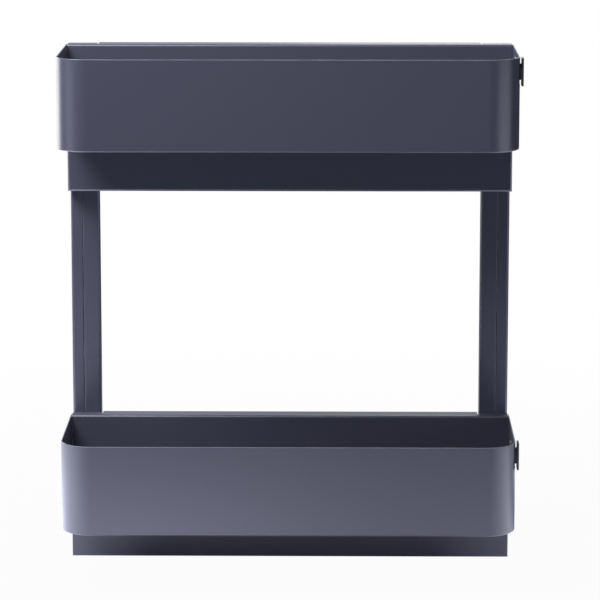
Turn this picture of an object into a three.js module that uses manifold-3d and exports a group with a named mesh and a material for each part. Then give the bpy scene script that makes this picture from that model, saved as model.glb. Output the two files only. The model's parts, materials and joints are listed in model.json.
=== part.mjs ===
// Pull-out bottle rack for the side wall of a kitchen cabinet. Millimetres, +Z up.
// X runs along the rack and +X is the end that comes out of the cabinet. The cabinet wall is the
// plane y = 0 and the bins hang towards -Y. The origin is the middle of the lower runner's wall face.

import * as THREE from 'three';
import { mergeVertices } from 'three/addons/utils/BufferGeometryUtils.js';
import Module from 'manifold-3d';

const wasm = await Module();
wasm.setup();

// Sheet metal shared by the bins, panels and posts
const SHEET = 1.2;
const SEAT_GAP = 0.3;

// Bins
const BIN_LENGTH = 460;
const BIN_DEPTH = 150;
const BIN_HEIGHT = 92;
const BIN_CORNER_RADIUS = 32;
const BIN_FOLD_RADIUS = 2.6;
const FLOOR_LEDGE = 12;
const TRAY_BEND_RADIUS = 2.1;
const HOOK_BEND_RADIUS = 1;
const HOOK_LIP_DROP = 10;
const HOOK_SLIT = 2.5;

// Carrier panels
const APRON_HEIGHT = 61;
const PANEL_FOLD_RADIUS = 2.4;
const PANEL_FLANGE_END = 14;
const PANEL_FLANGE_MIDDLE = 18.8;
const LEVEL_PITCH = 390;

// Posts
const POST_WIDTH = 30;
const POST_DEPTH = 15;
const POST_BEND_RADIUS = 2;
const POST_END_INSET = 1.5;
const POST_SETBACK = 15;
const POST_WALL_CLEARANCE = 1.5;
const POST_SIDE_CLEARANCE = 1.5;
const POST_BEYOND_BRACKET = 2;
const SEAM_FROM_OUTER_FACE = 12.2;
const SEAM_GAP = 0.8;

// Spacer brackets between the panels and what they carry
const BRACKET_SHEET = 1.5;
const BRACKET_HEIGHT = 46;
const BRACKET_WIDTH = 24;
const BRACKET_FOOT = 8;
const BRACKET_BEND_RADIUS = 2;
const POST_BRACKET_MARGIN = 3;
const RUNNER_BRACKET_MARGIN = 5.8;
const RUNNER_BRACKET_FROM_END = 75;

// Screws
const SCREW_RADIUS = 2;
const SCREW_HEAD_RADIUS = 3.6;
const SCREW_HEAD_HEIGHT = 2.2;
const SCREW_HEAD_RIM = 0.8;
const SCREW_CROWN_RADIUS = 2.2;
const SCREW_SOCKET_RADIUS = 1.45;
const SCREW_SOCKET_DEPTH = 1.3;
const SCREW_SOCKET_SIDES = 6;
const SCREW_REACH = 4;
const DRIVER_HOLE_RADIUS = 5;
const POST_SCREW_PITCH = 14;
const POST_SCREW_OFFSET = 5;

// Telescopic ball runners
const RUNNER_LENGTH = 450;
const RUNNER_HEIGHT = 45;
const RUNNER_SHEET = 1.2;
const RUNNER_BEND_RADIUS = 1.6;
const RACE_WRAP_DEG = 60;
const BALL_RADIUS = 1.8;
const RACE_LEAD_OUTER = 0.2;
const RACE_LEAD_INNER = 1.5;
const RACE_LINK = 2.15;
const BALL_ROW_STEP_OUT = 4.4;
const BALLS_PER_ROW = 5;
const BALL_PITCH = 50;
const CAGE_SHEET = 0.4;
const CAGE_BEND_RADIUS = 1.3;
const CAGE_EDGE = 2;
const CAGE_END = 12;
const UPPER_RUNNER_BELOW_RIM = 40;
const WALL_HOLE_RADIUS = 2.4;
const WALL_HOLE_FROM_END = 35;
const WALL_HOLE_MIDDLE_SPACING = 128;
const ACCESS_HOLE_RADIUS = 5.5;
const BUMPER_LENGTH = 5;
const BUMPER_HEIGHT = 18;
const BUMPER_DEPTH = 6;
const BUMPER_PEG_RADIUS = 2.1;

// End clips
const CLIP_PLATE_HEIGHT = 28;
const CLIP_PLATE_WIDTH = 14;
const CLIP_PLATE_THICKNESS = 2;
const CLIP_STANDOFF = 1.5;
const CLIP_INNER_STANDOFF = 2.5;
const CLIP_NECK_HEIGHT = 16;
const CLIP_NECK_WIDTH = 6;
const CLIP_BELOW_RIM = 0.8;
const CLIP_SLOT_FRONT = 9;
const CLIP_SLOT_DROP = 3;

// Facets
const ARC_STEP_DEG = 22.5;
const CORNER_SEGMENTS = 10;
const FOLD_SEGMENTS = 3;
const HOLE_SEGMENTS = 10;
const SCREW_SEGMENTS = 10;
const CUT_MARGIN = 20;

// Places worked out from the driving dimensions
const PANEL_FRONT = -(POST_WALL_CLEARANCE + POST_DEPTH + POST_SETBACK);
const PANEL_BACK_OF_WEB = PANEL_FRONT + SHEET;
const POST_FRONT = PANEL_FRONT + POST_SETBACK;
const BIN_BACK = PANEL_FRONT - SEAT_GAP;
const LOWER_PANEL_BOTTOM = -(BRACKET_HEIGHT / 2 + RUNNER_BRACKET_MARGIN + SHEET);
const LEVELS = { lower: LOWER_PANEL_BOTTOM, upper: LOWER_PANEL_BOTTOM + LEVEL_PITCH };
const PANEL_HEIGHT = APRON_HEIGHT + BIN_HEIGHT - SHEET - SEAT_GAP;
const RUNNER_Z = { lower: 0, upper: LEVELS.upper + APRON_HEIGHT + BIN_HEIGHT - UPPER_RUNNER_BELOW_RIM };
const PANEL_LENGTH = BIN_LENGTH;
const POST_CENTRE_X = PANEL_LENGTH / 2 - POST_END_INSET - POST_WIDTH / 2;
const POST_BRACKET_INSET = SHEET + POST_BRACKET_MARGIN + BRACKET_HEIGHT / 2;
const POST_BRACKET_Z = {
  lower: LEVELS.lower + PANEL_HEIGHT - POST_BRACKET_INSET,
  upper: LEVELS.upper + POST_BRACKET_INSET,
};
const POST_BOTTOM = POST_BRACKET_Z.lower - BRACKET_HEIGHT / 2 - POST_BEYOND_BRACKET;
const POST_TOP = POST_BRACKET_Z.upper + BRACKET_HEIGHT / 2 + POST_BEYOND_BRACKET;
const HOOK_HALF_LENGTH = POST_CENTRE_X - POST_WIDTH / 2 - POST_SIDE_CLEARANCE;
const RACE_RADIUS = BALL_RADIUS + SEAT_GAP + RUNNER_SHEET / 2;
const OUTER_CAGE_Y = -(RUNNER_SHEET + SEAT_GAP + CAGE_SHEET / 2);
const MIDDLE_WEB_Y = OUTER_CAGE_Y - CAGE_SHEET / 2 - SEAT_GAP - RUNNER_SHEET / 2;
const INNER_CAGE_Y = MIDDLE_WEB_Y - RUNNER_SHEET / 2 - SEAT_GAP - CAGE_SHEET / 2;
const BALL_ROWS_APART = Math.hypot(2 * RACE_RADIUS, RACE_LINK);
const BALL_ROW_STEP_IN = Math.sqrt(BALL_ROWS_APART ** 2 - BALL_ROW_STEP_OUT ** 2);
const OUTER_BALL = {
  y: MIDDLE_WEB_Y - RUNNER_BEND_RADIUS - RACE_LEAD_OUTER,
  z: RUNNER_HEIGHT / 2 - RUNNER_SHEET - SEAT_GAP - BALL_RADIUS,
};
const INNER_BALL = { y: OUTER_BALL.y - BALL_ROW_STEP_OUT, z: OUTER_BALL.z - BALL_ROW_STEP_IN };
const RACK_WEB_Y = INNER_BALL.y - RACE_LEAD_INNER - RUNNER_BEND_RADIUS;
const RUNNER_FRONT = RACK_WEB_Y - RUNNER_SHEET / 2;
const RUNNER_HALF = RUNNER_LENGTH / 2;
const WALL_HOLES_X = [-1, 1].flatMap((end) => [
  end * (RUNNER_HALF - WALL_HOLE_FROM_END),
  end * WALL_HOLE_MIDDLE_SPACING / 2,
]);
const RUNNER_BRACKETS_X = {
  rear: RUNNER_BRACKET_FROM_END - RUNNER_HALF,
  front: RUNNER_HALF - RUNNER_BRACKET_FROM_END,
};
const BUMPER_PEG_X = -RUNNER_HALF + BUMPER_LENGTH / 2;
const MIDDLE_REAR = -RUNNER_HALF + BUMPER_LENGTH + SEAT_GAP;
const CLIP_CENTRE_Z = BIN_HEIGHT - CLIP_BELOW_RIM - CLIP_PLATE_HEIGHT / 2;
const CLIP_CENTRE_Y = -BIN_DEPTH + BIN_CORNER_RADIUS;

// Finishes
const coat = new THREE.MeshStandardMaterial({ color: 0x4a4c5a, roughness: 0.5, metalness: 0.1 });
const zinc = new THREE.MeshStandardMaterial({ color: 0xa9adb0, roughness: 0.35, metalness: 0.9 });
const steel = new THREE.MeshStandardMaterial({ color: 0x8d9094, roughness: 0.3, metalness: 1.0 });
const rubber = new THREE.MeshStandardMaterial({ color: 0x1c1d1f, roughness: 0.8, metalness: 0.0 });
const plastic = new THREE.MeshStandardMaterial({ color: 0x2d2f38, roughness: 0.55, metalness: 0.0 });

const rack = new THREE.Group();

// Solids and meshes

function solid(geometry) {
  const bare = geometry.clone();
  bare.deleteAttribute('normal');
  bare.deleteAttribute('uv');
  const merged = mergeVertices(bare);
  const mesh = new wasm.Mesh({
    numProp: 3,
    vertProperties: new Float32Array(merged.attributes.position.array),
    triVerts: new Uint32Array(merged.index.array),
  });
  return new wasm.Manifold(mesh);
}

function addPart(name, body, material) {
  const { vertProperties, triVerts } = body.getMesh();
  const geometry = new THREE.BufferGeometry();
  geometry.setAttribute('position', new THREE.BufferAttribute(vertProperties, 3));
  geometry.setIndex(new THREE.BufferAttribute(triVerts, 1));
  geometry.computeVertexNormals();
  const mesh = new THREE.Mesh(geometry, material);
  mesh.name = name;
  rack.add(mesh);
}

function box(min, max) {
  const geometry = new THREE.BoxGeometry(max[0] - min[0], max[1] - min[1], max[2] - min[2]);
  geometry.translate((min[0] + max[0]) / 2, (min[1] + max[1]) / 2, (min[2] + max[2]) / 2);
  return solid(geometry);
}

// Two boxes, at the left and right ends alike, between distances near and far from the middle
function bothEnds(near, far, [y0, y1], [z0, z1]) {
  return box([near, y0, z0], [far, y1, z1]).add(box([-far, y0, z0], [-near, y1, z1]));
}

// A shape drawn in (x, y) and raised from z0 to z1
function alongZ(shape, z0, z1) {
  const geometry = new THREE.ExtrudeGeometry(shape, {
    depth: z1 - z0,
    bevelEnabled: false,
    curveSegments: CORNER_SEGMENTS,
  });
  geometry.translate(0, 0, z0);
  return solid(geometry);
}

// A section drawn in (y, z) and run from x0 to x1
function alongX(section, x0, x1) {
  const geometry = new THREE.ExtrudeGeometry(section, {
    depth: x1 - x0,
    bevelEnabled: false,
    curveSegments: CORNER_SEGMENTS,
  });
  const axes = new THREE.Matrix4().makeBasis(
    new THREE.Vector3(0, 1, 0),
    new THREE.Vector3(0, 0, 1),
    new THREE.Vector3(1, 0, 0),
  );
  geometry.applyMatrix4(axes);
  geometry.translate(x0, 0, 0);
  return solid(geometry);
}

function roundBarY(x, z, radius, y0, y1) {
  const geometry = new THREE.CylinderGeometry(radius, radius, y1 - y0, HOLE_SEGMENTS);
  geometry.translate(x, (y0 + y1) / 2, z);
  return solid(geometry);
}

// Bent sheet: the centreline is a list of runs and bends, and the section follows it on both sides.
// A bend's angle is positive to the left of the way the strip runs.

const run = (length) => ({ length });
const bend = (radius, degrees) => ({ radius, degrees });

function bentStrip(start, headingDegrees, moves) {
  let [u, v] = start;
  let heading = THREE.MathUtils.degToRad(headingDegrees);
  const stations = [];
  const mark = () => stations.push({ u, v, nu: -Math.sin(heading), nv: Math.cos(heading) });
  mark();
  for (const move of moves) {
    if (move.length !== undefined) {
      u += move.length * Math.cos(heading);
      v += move.length * Math.sin(heading);
      mark();
      continue;
    }
    const steps = Math.max(2, Math.ceil(Math.abs(move.degrees) / ARC_STEP_DEG));
    const turn = THREE.MathUtils.degToRad(move.degrees) / steps;
    const side = Math.sign(move.degrees);
    const centreU = u - side * move.radius * Math.sin(heading);
    const centreV = v + side * move.radius * Math.cos(heading);
    for (let i = 0; i < steps; i += 1) {
      heading += turn;
      u = centreU + side * move.radius * Math.sin(heading);
      v = centreV - side * move.radius * Math.cos(heading);
      mark();
    }
  }
  return stations;
}

// Adds the mirror image below v = 0 to a strip that starts on that line
function withMirrorHalf(stations) {
  const below = stations.slice(1).reverse().map(({ u, v, nu, nv }) => ({ u, v: -v, nu, nv: -nv }));
  return [...below, ...stations];
}

function stripSection(stations, thickness) {
  const offset = (side) => ({ u, v, nu, nv }) =>
    new THREE.Vector2(u + side * nu * thickness / 2, v + side * nv * thickness / 2);
  const left = stations.map(offset(1));
  const right = stations.map(offset(-1));
  return new THREE.Shape([...right, ...left.reverse()]);
}

// Bins

// Plan of a bin drawn in by inset, with round front corners and a back that runs past y = 0
function binPlan(inset) {
  const half = BIN_LENGTH / 2 - inset;
  const front = -BIN_DEPTH + inset;
  const radius = BIN_CORNER_RADIUS - inset;
  const shape = new THREE.Shape();
  shape.moveTo(half, CUT_MARGIN);
  shape.lineTo(-half, CUT_MARGIN);
  shape.lineTo(-half, front + radius);
  shape.absarc(-half + radius, front + radius, radius, Math.PI, 1.5 * Math.PI, false);
  shape.lineTo(half - radius, front);
  shape.absarc(half - radius, front + radius, radius, -0.5 * Math.PI, 0, false);
  shape.closePath();
  return shape;
}

// A block of the bin's plan from z0 upwards, with its lower edge folded round
function foldedBlock(inset, z0, z1, fold) {
  const geometry = new THREE.ExtrudeGeometry(binPlan(inset), {
    depth: z1 - z0,
    bevelEnabled: true,
    bevelThickness: fold,
    bevelSize: fold,
    bevelOffset: -fold,
    bevelSegments: FOLD_SEGMENTS,
    curveSegments: CORNER_SEGMENTS,
  });
  geometry.translate(0, 0, z0 + fold);
  return solid(geometry);
}

// The slot runs from the round corner to the clip's neck, which sits at its back and top
function clipSlot() {
  const front = CLIP_CENTRE_Y - CLIP_SLOT_FRONT;
  const back = CLIP_CENTRE_Y + CLIP_NECK_WIDTH / 2 + SEAT_GAP;
  const low = CLIP_CENTRE_Z - CLIP_NECK_HEIGHT / 2 - CLIP_SLOT_DROP;
  const high = CLIP_CENTRE_Z + CLIP_NECK_HEIGHT / 2 + SEAT_GAP;
  const outside = BIN_LENGTH / 2 + CUT_MARGIN;
  return box([BIN_LENGTH / 2 - BIN_CORNER_RADIUS, front, low], [outside, back, high]);
}

// Front and end walls in one bent band, with a ledge turned in along the bottom for the floor
function binBand() {
  const tall = BIN_HEIGHT + CUT_MARGIN;
  const wide = BIN_LENGTH;
  const above = box([-wide, -wide, BIN_HEIGHT], [wide, wide, tall + wide]);
  const behind = box([-wide, 0, -wide], [wide, wide, tall + wide]);
  return foldedBlock(0, 0, tall, BIN_FOLD_RADIUS)
    .subtract(foldedBlock(SHEET, SHEET, tall, BIN_FOLD_RADIUS - SHEET))
    .subtract(alongZ(binPlan(SHEET + FLOOR_LEDGE), -CUT_MARGIN, CUT_MARGIN))
    .subtract(above)
    .subtract(behind)
    .subtract(clipSlot());
}

// Floor, back wall and the hook flange over the panel's top edge, bent from one sheet
function binTray() {
  const floorInset = BIN_FOLD_RADIUS + SEAT_GAP;
  const floorZ = SHEET + SEAT_GAP;
  const halfLength = BIN_LENGTH / 2 - SHEET - SEAT_GAP;
  const wallY = -SHEET / 2;
  const floorMiddle = floorZ + SHEET / 2;
  const flangeMiddle = BIN_HEIGHT - SHEET / 2;
  const floorJoin = CUT_MARGIN;
  const stripEnd = SEAT_GAP + PANEL_FLANGE_END;
  const lipY = SEAT_GAP + PANEL_FLANGE_MIDDLE + SEAT_GAP + SHEET / 2;
  const wall = bentStrip([wallY - TRAY_BEND_RADIUS - floorJoin, floorMiddle], 0, [
    run(floorJoin),
    bend(TRAY_BEND_RADIUS, 90),
    run(flangeMiddle - floorMiddle - 2 * TRAY_BEND_RADIUS),
    bend(TRAY_BEND_RADIUS, -90),
    run(stripEnd - wallY - TRAY_BEND_RADIUS),
  ]);
  const hook = bentStrip([TRAY_BEND_RADIUS, flangeMiddle], 0, [
    run(lipY - HOOK_BEND_RADIUS - TRAY_BEND_RADIUS),
    bend(HOOK_BEND_RADIUS, -90),
    run(HOOK_LIP_DROP),
  ]);
  const front = -BIN_DEPTH - CUT_MARGIN;
  const floorCut = wallY - TRAY_BEND_RADIUS - floorJoin / 2;
  const floor = alongZ(binPlan(floorInset), floorZ, floorZ + SHEET)
    .intersect(box([-BIN_LENGTH, front, 0], [BIN_LENGTH, floorCut, BIN_HEIGHT]));
  const footCorner = bothEnds(BIN_LENGTH / 2 - floorInset, BIN_LENGTH, [front, CUT_MARGIN], [0, floorInset]);
  const slitY = [SEAT_GAP + TRAY_BEND_RADIUS, CUT_MARGIN + PANEL_FLANGE_MIDDLE];
  const slitZ = [BIN_HEIGHT - 2 * SHEET, BIN_HEIGHT + SHEET];
  const slits = bothEnds(HOOK_HALF_LENGTH, HOOK_HALF_LENGTH + HOOK_SLIT, slitY, slitZ);
  return alongX(stripSection(wall, SHEET), -halfLength, halfLength)
    .subtract(footCorner)
    .add(alongX(stripSection(hook, SHEET), -HOOK_HALF_LENGTH, HOOK_HALF_LENGTH))
    .subtract(slits)
    .add(floor);
}

// Two plates joined by a neck that sits in the slot of the end wall
function endClip() {
  const slab = (x0, x1, width, height) => box(
    [x0, CLIP_CENTRE_Y - width / 2, CLIP_CENTRE_Z - height / 2],
    [x1, CLIP_CENTRE_Y + width / 2, CLIP_CENTRE_Z + height / 2],
  );
  const outerX = BIN_LENGTH / 2 + CLIP_STANDOFF;
  const innerX = BIN_LENGTH / 2 - SHEET - CLIP_INNER_STANDOFF;
  const thick = CLIP_PLATE_THICKNESS;
  return slab(innerX - thick / 2, outerX + thick / 2, CLIP_NECK_WIDTH, CLIP_NECK_HEIGHT)
    .add(slab(outerX, outerX + thick, CLIP_PLATE_WIDTH, CLIP_PLATE_HEIGHT))
    .add(slab(innerX - thick, innerX, CLIP_PLATE_WIDTH, CLIP_PLATE_HEIGHT));
}

// Carrier panels

// A rectangle from (0, low) to (depth, high) whose two corners on u = 0 are round
function panSection(depth, low, high, inset, radius) {
  const shape = new THREE.Shape();
  shape.moveTo(depth, low + inset);
  shape.lineTo(depth, high - inset);
  shape.lineTo(inset + radius, high - inset);
  shape.absarc(inset + radius, high - inset - radius, radius, Math.PI / 2, Math.PI, false);
  shape.lineTo(inset, low + inset + radius);
  shape.absarc(inset + radius, low + inset + radius, radius, Math.PI, 1.5 * Math.PI, false);
  shape.closePath();
  return shape;
}

// The same outline turned so that its depth runs along y and its height along x
function panPlan(depth, half, inset, radius) {
  const points = panSection(depth, -half, half, inset, radius).getPoints(CORNER_SEGMENTS);
  return new THREE.Shape(points.map((point) => new THREE.Vector2(-point.y, point.x)));
}

function panBlock(inset, depth) {
  const half = PANEL_LENGTH / 2;
  const radius = PANEL_FOLD_RADIUS - inset;
  return alongX(panSection(depth, 0, PANEL_HEIGHT, inset, radius), -half, half)
    .intersect(alongZ(panPlan(depth, half, inset, radius), -CUT_MARGIN, PANEL_HEIGHT + CUT_MARGIN));
}

// A pan folded from one sheet and open at the back, its flanges cut back beside the posts
function carrierPanel() {
  const besidePosts = bothEnds(
    HOOK_HALF_LENGTH,
    PANEL_LENGTH,
    [PANEL_FLANGE_END, PANEL_FLANGE_MIDDLE + CUT_MARGIN],
    [-CUT_MARGIN, PANEL_HEIGHT + CUT_MARGIN],
  );
  return panBlock(0, PANEL_FLANGE_MIDDLE)
    .subtract(panBlock(SHEET, PANEL_FLANGE_MIDDLE + CUT_MARGIN))
    .subtract(besidePosts);
}

// Posts

function postScrewHeights() {
  return Object.values(POST_BRACKET_Z).flatMap((z) => [z - POST_SCREW_PITCH / 2, z + POST_SCREW_PITCH / 2]);
}

// A box section rolled from one strip, whose edges meet in a seam on the front face
function post(side) {
  const r = POST_BEND_RADIUS;
  const width = POST_WIDTH - SHEET;
  const depth = POST_DEPTH - SHEET;
  const seamX = POST_WIDTH / 2 - SEAM_FROM_OUTER_FACE;
  const rightFace = width / 2 - seamX - SEAM_GAP / 2;
  const leftFace = width / 2 + seamX - SEAM_GAP / 2;
  const section = bentStrip([seamX + SEAM_GAP / 2, -depth / 2], 0, [
    run(rightFace - r),
    bend(r, 90),
    run(depth - 2 * r),
    bend(r, 90),
    run(width - 2 * r),
    bend(r, 90),
    run(depth - 2 * r),
    bend(r, 90),
    run(leftFace - r),
  ]).map(({ u, v, nu, nv }) => ({ u: side * u, v, nu: side * nu, nv }));
  const middleY = POST_FRONT + POST_DEPTH / 2;
  let body = alongZ(stripSection(section, SHEET), POST_BOTTOM, POST_TOP)
    .translate([side * POST_CENTRE_X, middleY, 0]);
  const screwX = side * (POST_CENTRE_X - POST_SCREW_OFFSET);
  for (const z of postScrewHeights()) {
    body = body
      .subtract(roundBarY(screwX, z, SCREW_RADIUS + SEAT_GAP, POST_FRONT - SHEET, POST_FRONT + 2 * SHEET))
      .subtract(roundBarY(screwX, z, DRIVER_HOLE_RADIUS, middleY, CUT_MARGIN));
  }
  return body;
}

// Spacer brackets

// A hat section: feet against the panel's web, crown against what it carries
function spacerBracket(crownY, centreX, centreZ, screws) {
  const r = BRACKET_BEND_RADIUS;
  const footY = PANEL_BACK_OF_WEB + SEAT_GAP + BRACKET_SHEET / 2;
  const topY = crownY - SEAT_GAP - BRACKET_SHEET / 2;
  const leg = topY - footY - 2 * r;
  const foot = BRACKET_FOOT;
  const crown = BRACKET_HEIGHT - 2 * foot - 4 * r;
  const section = bentStrip([footY, centreZ - BRACKET_HEIGHT / 2], 90, [
    run(foot),
    bend(r, -90),
    run(leg),
    bend(r, 90),
    run(crown),
    bend(r, 90),
    run(leg),
    bend(r, -90),
    run(foot),
  ]);
  const half = BRACKET_WIDTH / 2;
  let body = alongX(stripSection(section, BRACKET_SHEET), centreX - half, centreX + half);
  for (const [x, z] of screws) {
    const hole = roundBarY(x, z, SCREW_RADIUS + SEAT_GAP, topY - BRACKET_SHEET, topY + BRACKET_SHEET);
    body = body.subtract(hole);
  }
  return body;
}

// A button-head screw along Y: the head's underside at seatY, the shank pointing to -Y
function screw(x, z, seatY, grip) {
  const headEnd = SCREW_HEAD_HEIGHT;
  const profile = [
    new THREE.Vector2(0, -grip - SCREW_REACH),
    new THREE.Vector2(SCREW_RADIUS, -grip - SCREW_REACH),
    new THREE.Vector2(SCREW_RADIUS, 0),
    new THREE.Vector2(SCREW_HEAD_RADIUS, 0),
    new THREE.Vector2(SCREW_HEAD_RADIUS, SCREW_HEAD_RIM),
    new THREE.Vector2(SCREW_CROWN_RADIUS, headEnd),
    new THREE.Vector2(0, headEnd),
  ];
  const body = solid(new THREE.LatheGeometry(profile, SCREW_SEGMENTS));
  const r = SCREW_SOCKET_RADIUS;
  const socket = new THREE.CylinderGeometry(r, r, 2 * SCREW_SOCKET_DEPTH, SCREW_SOCKET_SIDES);
  socket.translate(0, headEnd, 0);
  return body.subtract(solid(socket)).translate([x, seatY, z]);
}

// Telescopic runners: three nested channels, rolling on two rows of caged balls each side

// Holes along a channel's middle line, through the web at webY
function drilled(channel, holes, radius, webY) {
  const drill = (rest, x) => rest.subtract(roundBarY(x, 0, radius, webY - RUNNER_SHEET, webY + RUNNER_SHEET));
  return holes.reduce(drill, channel);
}

function runnerChannel(half, x0, x1) {
  return alongX(stripSection(withMirrorHalf(half), RUNNER_SHEET), x0, x1);
}

function wallChannel() {
  const r = RUNNER_BEND_RADIUS;
  const webY = -RUNNER_SHEET / 2;
  const flangeZ = RUNNER_HEIGHT / 2 - RUNNER_SHEET / 2;
  const half = bentStrip([webY, 0], 90, [
    run(flangeZ - r),
    bend(r, 90),
    run(webY - r - OUTER_BALL.y),
    bend(RACE_RADIUS, RACE_WRAP_DEG),
  ]);
  const channel = runnerChannel(half, -RUNNER_HALF, RUNNER_HALF);
  const withScrewHoles = drilled(channel, WALL_HOLES_X, WALL_HOLE_RADIUS, webY);
  return drilled(withScrewHoles, [BUMPER_PEG_X], BUMPER_PEG_RADIUS + SEAT_GAP, webY);
}

// The middle channel's edge runs under the outer balls and then over the inner ones in an S
function middleChannel() {
  const r = RUNNER_BEND_RADIUS;
  const slope = Math.atan2(2 * RACE_RADIUS, RACE_LINK) - Math.atan2(BALL_ROW_STEP_IN, BALL_ROW_STEP_OUT);
  const slopeDeg = THREE.MathUtils.radToDeg(slope);
  const half = bentStrip([MIDDLE_WEB_Y, 0], 90, [
    run(OUTER_BALL.z - RACE_RADIUS - r),
    bend(r, 90),
    run(RACE_LEAD_OUTER),
    bend(RACE_RADIUS, -slopeDeg),
    run(RACE_LINK),
    bend(RACE_RADIUS, slopeDeg + RACE_WRAP_DEG),
  ]);
  const channel = runnerChannel(half, MIDDLE_REAR, RUNNER_HALF);
  return drilled(channel, WALL_HOLES_X, ACCESS_HOLE_RADIUS, MIDDLE_WEB_Y);
}

function rackChannel() {
  const r = RUNNER_BEND_RADIUS;
  const half = bentStrip([RACK_WEB_Y, 0], 90, [
    run(INNER_BALL.z - RACE_RADIUS - r),
    bend(r, -90),
    run(RACE_LEAD_INNER),
    bend(RACE_RADIUS, RACE_WRAP_DEG),
  ]);
  const channel = runnerChannel(half, -RUNNER_HALF, RUNNER_HALF);
  return drilled(channel, Object.values(RUNNER_BRACKETS_X), SCREW_RADIUS + SEAT_GAP, RACK_WEB_Y);
}

// A thin channel between two runner members whose edges hold the balls
function ballCage(webY, ball) {
  const r = CAGE_BEND_RADIUS;
  const half = bentStrip([webY, 0], 90, [
    run(ball.z - r),
    bend(r, 90),
    run(webY - r - ball.y + CAGE_EDGE),
  ]);
  const halfLength = (BALLS_PER_ROW - 1) * BALL_PITCH / 2 + CAGE_END;
  let cage = alongX(stripSection(withMirrorHalf(half), CAGE_SHEET), -halfLength, halfLength);
  for (const side of [-1, 1]) {
    for (let i = 0; i < BALLS_PER_ROW; i += 1) {
      const bead = new THREE.OctahedronGeometry(BALL_RADIUS, 1);
      bead.translate((i - (BALLS_PER_ROW - 1) / 2) * BALL_PITCH, ball.y, side * ball.z);
      cage = cage.add(solid(bead));
    }
  }
  return cage;
}

// Rubber stop at the wall channel's closed end, with a peg through its web
function bumper() {
  const back = -RUNNER_SHEET - SEAT_GAP;
  const block = box(
    [-RUNNER_HALF, back - BUMPER_DEPTH, -BUMPER_HEIGHT / 2],
    [-RUNNER_HALF + BUMPER_LENGTH, back, BUMPER_HEIGHT / 2],
  );
  return block.add(roundBarY(BUMPER_PEG_X, 0, BUMPER_PEG_RADIUS, back - BUMPER_DEPTH / 2, -SEAT_GAP));
}

// Assembly

for (const level of ['lower', 'upper']) {
  const binPlace = [0, BIN_BACK, LEVELS[level] + APRON_HEIGHT];
  addPart(`${level}_bin_band`, binBand().translate(binPlace), coat);
  addPart(`${level}_bin_tray`, binTray().translate(binPlace), coat);
  addPart(`${level}_end_clip`, endClip().translate(binPlace), plastic);
  addPart(`${level}_panel`, carrierPanel().translate([0, PANEL_FRONT, LEVELS[level]]), coat);

  const runnerPlace = [0, 0, RUNNER_Z[level]];
  addPart(`${level}_runner_wall_channel`, wallChannel().translate(runnerPlace), zinc);
  addPart(`${level}_runner_middle_channel`, middleChannel().translate(runnerPlace), zinc);
  addPart(`${level}_runner_rack_channel`, rackChannel().translate(runnerPlace), zinc);
  addPart(`${level}_runner_outer_cage`, ballCage(OUTER_CAGE_Y, OUTER_BALL).translate(runnerPlace), steel);
  addPart(`${level}_runner_inner_cage`, ballCage(INNER_CAGE_Y, INNER_BALL).translate(runnerPlace), steel);
  addPart(`${level}_runner_bumper`, bumper().translate(runnerPlace), rubber);

  for (const [end, x] of Object.entries(RUNNER_BRACKETS_X)) {
    const z = RUNNER_Z[level];
    const seatY = RUNNER_FRONT + RUNNER_SHEET + SEAT_GAP;
    const grip = RUNNER_SHEET + BRACKET_SHEET + 2 * SEAT_GAP;
    addPart(`${level}_${end}_runner_bracket`, spacerBracket(RUNNER_FRONT, x, z, [[x, z]]), coat);
    addPart(`${level}_${end}_runner_screw`, screw(x, z, seatY, grip), steel);
  }
}

for (const [hand, side] of [['left', -1], ['right', 1]]) {
  addPart(`${hand}_post`, post(side), coat);
  const screwX = side * (POST_CENTRE_X - POST_SCREW_OFFSET);
  for (const [level, z] of Object.entries(POST_BRACKET_Z)) {
    const heights = { bottom: z - POST_SCREW_PITCH / 2, top: z + POST_SCREW_PITCH / 2 };
    const holes = Object.values(heights).map((height) => [screwX, height]);
    addPart(`${level}_${hand}_post_bracket`, spacerBracket(POST_FRONT, screwX, z, holes), coat);
    for (const [place, height] of Object.entries(heights)) {
      const seatY = POST_FRONT + SHEET + SEAT_GAP;
      const grip = SHEET + BRACKET_SHEET + 2 * SEAT_GAP;
      addPart(`${level}_${hand}_post_${place}_screw`, screw(screwX, height, seatY, grip), steel);
    }
  }
}

export default rack;
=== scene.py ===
# %% [markdown]
# # A pull-out bottle rack in folded, powder-coated steel
#
# The rack is a few thin sheets, each folded to shape and coated in one dark blue-grey. Two open bins hang
# on two carrier panels, two posts join the panels, and ball runners behind them let the rack slide out.
# The frame from the CAD model fixes where every piece is. This script gives each piece its finished
# surface: true bends, rounded cut edges, holes, and materials made of nodes.

import json
import math

import bmesh
import bpy
from mathutils import Matrix, Vector

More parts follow.
